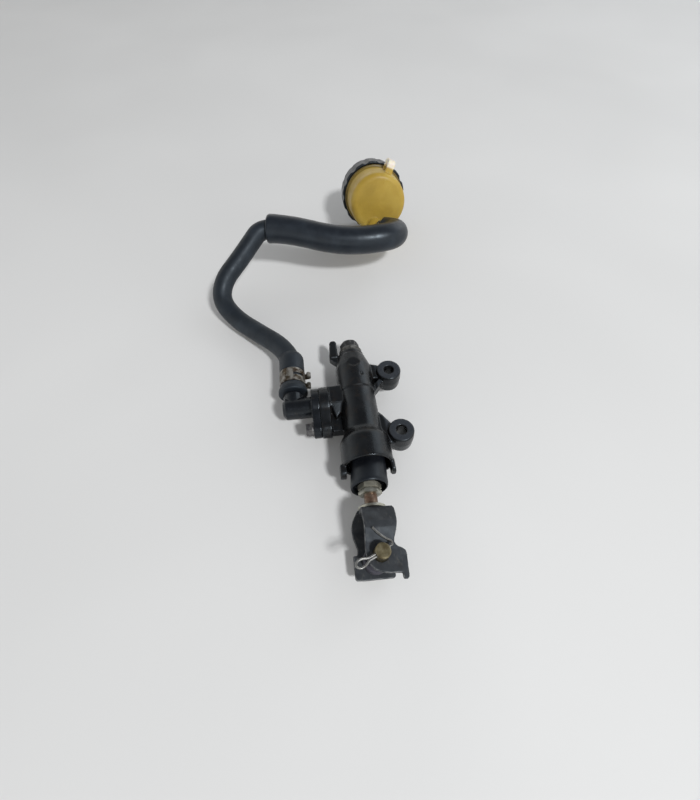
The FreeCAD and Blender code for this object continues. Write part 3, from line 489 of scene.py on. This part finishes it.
def cast_paint():
    """Worn black paint on the casting, with a painted bluish reflection lightening the upward-facing tops
    of the bosses.
    """
    f = Finish("cast_black", specular=0.38)
    f.base([(0.30, (9, 9, 10)), (0.52, (14, 14, 15)), (0.72, (21, 22, 24))], 90.0)
    f.patches((36, 28, 21), 150.0, 0.52, 0.68, 0.55)
    f.patches((62, 60, 56), 900.0, 0.64, 0.72, 0.28, 3.0)
    f.settled((44, 37, 30), amount=0.5)
    f.worn_edges((78, 82, 86), 0.535, 0.60, 0.70)
    place = f.node("ShaderNodeSeparateXYZ")
    facing = f.node("ShaderNodeSeparateXYZ")
    f.link(f.where, place.inputs[0])
    f.link(f.geometry.outputs["Normal"], facing.inputs[0])
    # Painted reflection: tops of the bosses that face upward are lightened to a bluish grey.
    painted_sheen_on_boss = f.between(place.outputs["X"], BOSS_EDGE_X, BOSS_EDGE_X + 0.001)
    f.layer((62, 66, 72), f.times(painted_sheen_on_boss, f.between(facing.outputs["Z"], 0.80, 0.97)), 0.55)
    f.roughness(0.20, 0.40, 130.0)
    f.bump((f.noise(1500.0, 3.0), 0.22, 0.00012), (f.noise(330.0, 4.0), 0.30, 0.00025),
           (f.cells(2600.0), 0.10, 0.00008))
    return f.done()


def moulded(name, stops, low, high, edge, speck=(104, 104, 102)):
    """Black moulded plastic with fine texture and a little dust."""
    f = Finish(name, specular=0.34)
    f.base(stops, 110.0)
    f.patches(speck, 1300.0, 0.66, 0.74, 0.22, 3.0)
    f.patches((58, 51, 43), 140.0, 0.60, 0.72, 0.25)
    f.worn_edges(edge, 0.54, 0.62, 0.55)
    f.roughness(low, high, 170.0)
    f.bump((f.noise(2200.0, 2.0), 0.12, 0.00008), (f.noise(260.0, 4.0), 0.16, 0.00020))
    return f.done()


def rubber(name, stops, low, high, grain=0.16, dust=0.25):
    """Dark rubber with dust and a dull bloom."""
    f = Finish(name, specular=0.38)
    f.base(stops, 75.0)
    f.patches((84, 84, 82), 620.0, 0.60, 0.72, dust, 4.0)
    f.patches((62, 58, 52), 95.0, 0.58, 0.74, dust)
    f.roughness(low, high, 200.0)
    f.bump((f.noise(2600.0, 2.0), grain, 0.00006), (f.noise(240.0, 3.0), 0.14, 0.00018))
    return f.done()


def metal(name, stops, low, high, scratch, stains=None, amount=0.5, metallic=1.0, pits=0.15):
    """Plated or bare metal with directional scratches and stains."""
    f = Finish(name, metallic=metallic)
    f.base(stops, 240.0)
    if stains:
        f.patches(stains, 210.0, 0.46, 0.66, amount)
        f.patches(stains, 900.0, 0.60, 0.70, amount)
    f.worn_edges((205, 205, 200), 0.54, 0.62, 0.35)
    f.roughness(low, high, 420.0, scratch)
    f.bump((f.noise(1400.0, 3.0, stretch=scratch), 0.20, 0.00006), (f.noise(700.0, 4.0), pits, 0.00012))
    return f.done()


def rod_finish():
    """Rusty steel rod that still has its zinc from the hexagon inwards."""
    f = Finish("rod_steel", metallic=0.8)
    f.base([(0.3, (92, 76, 64)), (0.5, (120, 104, 91)), (0.75, (150, 137, 124))], 240.0)
    f.patches((92, 58, 38), 210.0, 0.44, 0.64, 0.65)
    split = f.node("ShaderNodeSeparateXYZ")
    f.link(f.where, split.inputs[0])
    f.layer((176, 175, 160), f.between(split.outputs["Y"], HEX_END_Y, HEX_END_Y + 0.0002), 0.9)
    f.patches((88, 78, 58), 520.0, 0.56, 0.68, 0.45)
    f.worn_edges((205, 205, 200), 0.54, 0.62, 0.35)
    f.roughness(0.34, 0.56, 420.0)
    f.bump((f.noise(1400.0, 3.0, stretch=(0.3, 1.0, 1.0)), 0.22, 0.00006),
           (f.noise(700.0, 4.0), 0.3, 0.00012))
    return f.done()


def clevis_finish():
    """Satin grey paint on pressed steel, worn bright along its edges."""
    f = Finish("clevis_grey", specular=0.30)
    f.base([(0.30, (38, 40, 43)), (0.52, (50, 52, 55)), (0.72, (64, 67, 70))], 120.0)
    f.patches((88, 87, 83), 480.0, 0.56, 0.70, 0.45, 5.0, (1.0, 0.35, 1.0))
    f.patches((44, 37, 30), 160.0, 0.56, 0.72, 0.5)
    f.settled((34, 29, 25), amount=0.5)
    f.worn_edges((168, 169, 168), 0.52, 0.570, 0.90, 340.0)
    f.roughness(0.44, 0.62, 190.0)
    f.bump((f.noise(1900.0, 3.0), 0.12, 0.00008), (f.noise(280.0, 5.0), 0.22, 0.00022))
    return f.done()


def reservoir_finish():
    """Plastic stained by the fluid, with painted shade darkening the neck under the cap, paler out on the
    mounting tab.
    """
    f = Finish("reservoir_plastic", specular=0.3)
    f.base([(0.28, (152, 126, 48)), (0.52, (168, 141, 58)), (0.74, (182, 156, 72))], 42.0)
    f.patches((134, 104, 38), 60.0, 0.56, 0.78, 0.40, 3.0)
    f.patches((206, 190, 134), 260.0, 0.62, 0.76, 0.18, 4.0)
    axis = Matrix.Rotation(RESERVOIR_TILT, 3, "X") @ Vector((0, 0, 1))
    offset = f.node("ShaderNodeVectorMath", operation="SUBTRACT")
    f.link(f.where, offset.inputs[0])
    offset.inputs[1].default_value = RESERVOIR_CENTRE
    down = f.node("ShaderNodeVectorMath", operation="DOT_PRODUCT")
    f.link(offset.outputs[0], down.inputs[0])
    down.inputs[1].default_value = axis
    across = f.node("ShaderNodeVectorMath", operation="CROSS_PRODUCT")
    f.link(offset.outputs[0], across.inputs[0])
    across.inputs[1].default_value = axis
    radius = f.node("ShaderNodeVectorMath", operation="LENGTH")
    f.link(across.outputs[0], radius.inputs[0])
    tab = f.between(radius.outputs["Value"], 0.0275, 0.0290)
    below_neck = f.between(down.outputs["Value"], 0.0262, 0.0272)
    f.layer((226, 219, 204), f.times(tab, below_neck), 0.95)
    # Painted shade: the side of the body next to the cap is darkened as if shaded by the cap.
    neck_shade = f.between(down.outputs["Value"], 0.0270, 0.0240)
    f.layer((74, 62, 26), neck_shade, 0.85)
    f.shader.inputs["Subsurface Weight"].default_value = 0.35
    f.shader.inputs["Subsurface Radius"].default_value = (1.0, 0.75, 0.30)
    f.shader.inputs["Subsurface Scale"].default_value = 0.004
    f.roughness(0.34, 0.50, 150.0)
    f.bump((f.noise(1600.0, 2.0), 0.06, 0.00006), (f.noise(140.0, 3.0), 0.14, 0.00030))
    return f.done()


def make_finishes():
    """One finish for each material slot of the record and of the added pieces."""
    bright = (0.30, 1.0, 1.0)
    across = (1.0, 0.22, 1.0)
    along_pin = (1.0, 0.35, 1.0)
    along_band = (1.0, 1.0, 0.3)
    washer = [(0.3, (56, 56, 54)), (0.7, (92, 92, 90))]
    bolt = [(0.3, (52, 53, 55)), (0.7, (80, 82, 84))]
    alloy = [(0.3, (168, 170, 172)), (0.7, (196, 198, 200))]
    seal = [(0.3, (22, 22, 22)), (0.7, (34, 34, 35))]
    steel = [(0.3, (112, 113, 113)), (0.7, (160, 160, 157))]
    boot = [(0.3, (9, 11, 15)), (0.52, (14, 16, 21)), (0.74, (22, 25, 31))]
    zinc = [(0.3, (150, 150, 138)), (0.55, (182, 182, 170)), (0.75, (206, 205, 192))]
    old_zinc = [(0.3, (92, 85, 64)), (0.5, (118, 110, 86)), (0.75, (150, 143, 118))]
    bush = [(0.3, (44, 43, 48)), (0.7, (62, 60, 68))]
    elbow = [(0.3, (11, 12, 15)), (0.52, (17, 19, 22)), (0.74, (26, 28, 33))]
    screw = [(0.3, (62, 62, 66)), (0.7, (92, 92, 96))]
    hose = [(0.3, (19, 23, 28)), (0.52, (26, 31, 37)), (0.74, (35, 41, 48))]
    sleeve = [(0.3, (20, 23, 29)), (0.52, (27, 31, 37)), (0.74, (36, 41, 48))]
    clamp = [(0.3, (38, 31, 21)), (0.52, (56, 47, 33)), (0.75, (84, 74, 54))]
    plate = [(0.3, (186, 184, 174)), (0.7, (206, 204, 194))]
    cap = [(0.3, (14, 16, 18)), (0.52, (21, 24, 27)), (0.74, (31, 34, 38))]
    return {
        "cast_black": cast_paint(),
        "washer_pale": metal("washer_pale", washer, 0.45, 0.65, bright, (44, 38, 32), 0.6, 0.7),
        "bolt_grey": metal("bolt_grey", bolt, 0.40, 0.60, bright, (42, 36, 29), 0.5, 0.8),
        "inner_alloy": metal("inner_alloy", alloy, 0.22, 0.36, bright),
        "seal_rubber": rubber("seal_rubber", seal, 0.5, 0.7, dust=0.1),
        "bright_steel": metal("bright_steel", steel, 0.30, 0.50, across, (78, 68, 56), 0.45),
        "boot_rubber": rubber("boot_rubber", boot, 0.34, 0.54, 0.18, 0.12),
        "rod_steel": rod_finish(),
        "zinc_nut": metal("zinc_nut", zinc, 0.28, 0.46, bright, (96, 88, 66), 0.5),
        "zinc_pin": metal("zinc_pin", old_zinc, 0.36, 0.56, along_pin, (66, 54, 34), 0.6),
        "clevis_grey": clevis_finish(),
        "bush_plastic": moulded("bush_plastic", bush, 0.45, 0.62, (96, 94, 100)),
        "elbow_plastic": moulded("elbow_plastic", elbow, 0.18, 0.34, (76, 80, 84)),
        "screw_dark": metal("screw_dark", screw, 0.36, 0.54, bright, (60, 50, 42), 0.4),
        "hose_rubber": rubber("hose_rubber", hose, 0.42, 0.58, 0.06, 0.10),
        "sleeve_rubber": rubber("sleeve_rubber", sleeve, 0.28, 0.42, 0.04, 0.06),
        "clamp_steel": metal("clamp_steel", clamp, 0.40, 0.60, along_band, (56, 36, 20), 0.65, 0.6, 0.25),
        "reservoir_plastic": reservoir_finish(),
        "plate_plastic": moulded("plate_plastic", plate, 0.40, 0.55, (222, 221, 214), (160, 156, 146)),
        "cap_plastic": moulded("cap_plastic", cap, 0.26, 0.44, (72, 76, 80)),
    }


def paint(obj, material):
    if obj.type == "CURVE" or not obj.material_slots:
        obj.data.materials.clear()
        obj.data.materials.append(material)
        return
    for place in obj.material_slots:
        place.link = "OBJECT"
        place.material = material


def paint_nodes(finishes):
    for row in frame["record"]["subparts"]:
        paint(frame["nodes"][row["node"]], finishes[row["material_slot"]])


def soften(node, voxel, rounds):
    """Rounds a casting's or moulding's corners as a worn mould does."""
    obj = frame["nodes"][node]
    remesh = obj.modifiers.new("even_skin", "REMESH")
    remesh.mode = "VOXEL"
    remesh.voxel_size = voxel
    remesh.use_smooth_shade = True
    smooth = obj.modifiers.new("rounded_corners", "SMOOTH")
    smooth.factor = 0.5
    smooth.iterations = rounds


# ---- stage ----
def add_floor():
    height = cad_low.z - FLOOR_GAP
    half = FLOOR_HALF_WIDTH
    mesh = bpy.data.meshes.new("floor")
    corners = [(-half, -half, height), (half, -half, height), (half, half, height), (-half, half, height)]
    mesh.from_pydata(corners, [], [(0, 1, 2, 3)])
    floor = bpy.data.objects.new("floor", mesh)
    bpy.context.scene.collection.objects.link(floor)
    f = Finish("floor_card", specular=0.25)
    f.base([(0.3, (214, 214, 213)), (0.7, (221, 221, 220))], 3.0, 2.0)
    f.roughness(0.65, 0.75, 20.0)
    f.bump((f.noise(900.0, 2.0), 0.05, 0.00005))
    floor.data.materials.append(f.done())


def add_area(name, place, target, size, power, colour):
    data = bpy.data.lights.new(name, "AREA")
    data.shape = "DISK"
    data.size = size
    data.energy = power
    data.color = colour
    light = bpy.data.objects.new(name, data)
    light.location = place
    light.rotation_euler = (Vector(target) - Vector(place)).to_track_quat("-Z", "Y").to_euler()
    bpy.context.scene.collection.objects.link(light)


def add_lights():
    world = bpy.data.worlds.new("room")
    world.use_nodes = True
    tree = world.node_tree
    sky = tree.nodes["Background"]
    place = tree.nodes.new("ShaderNodeTexCoord")
    split = tree.nodes.new("ShaderNodeSeparateXYZ")
    ramp = tree.nodes.new("ShaderNodeValToRGB")
    ramp.color_ramp.elements[0].position = 0.0
    ramp.color_ramp.elements[0].color = (1.0, 0.985, 0.955, 1.0)
    ramp.color_ramp.elements[1].position = 0.80
    ramp.color_ramp.elements[1].color = (0.15, 0.155, 0.165, 1.0)
    tree.links.new(place.outputs["Generated"], split.inputs[0])
    tree.links.new(split.outputs["Z"], ramp.inputs["Fac"])
    tree.links.new(ramp.outputs["Color"], sky.inputs["Color"])
    sky.inputs["Strength"].default_value = 1.34
    bpy.context.scene.world = world
    add_area("key", (0.72, -1.15, 1.75), (-0.02, 0.06, 0.0), 0.30, 34.0, (0.985, 0.99, 1.0))
    add_area("ceiling", (1.30, 1.05, 0.95), (-0.03, 0.05, 0.0), 1.2, 4.5, (0.90, 0.95, 1.0))


# ---- scene ----
bpy.context.scene.view_settings.view_transform = "Standard"
add_camera()
line = route_line()
hose = add_hose()
sleeve = add_sleeve(line)
cuff = add_cuff()
boot = add_boot()
spring = add_spring()

finishes = make_finishes()
paint_nodes(finishes)
for piece, finish in ((hose, "hose_rubber"), (sleeve, "sleeve_rubber"), (cuff, "hose_rubber"),
                      (boot, "boot_rubber"), (spring, "bright_steel")):
    paint(piece, finishes[finish])

soften("cylinder_body", 0.00045, 6)
soften("port_elbow", 0.00040, 5)
soften("clevis_bracket", 0.00035, 4)
soften("reservoir_cap", 0.00045, 5)
soften("reservoir_body", 0.00045, 4)

add_floor()
add_lights()
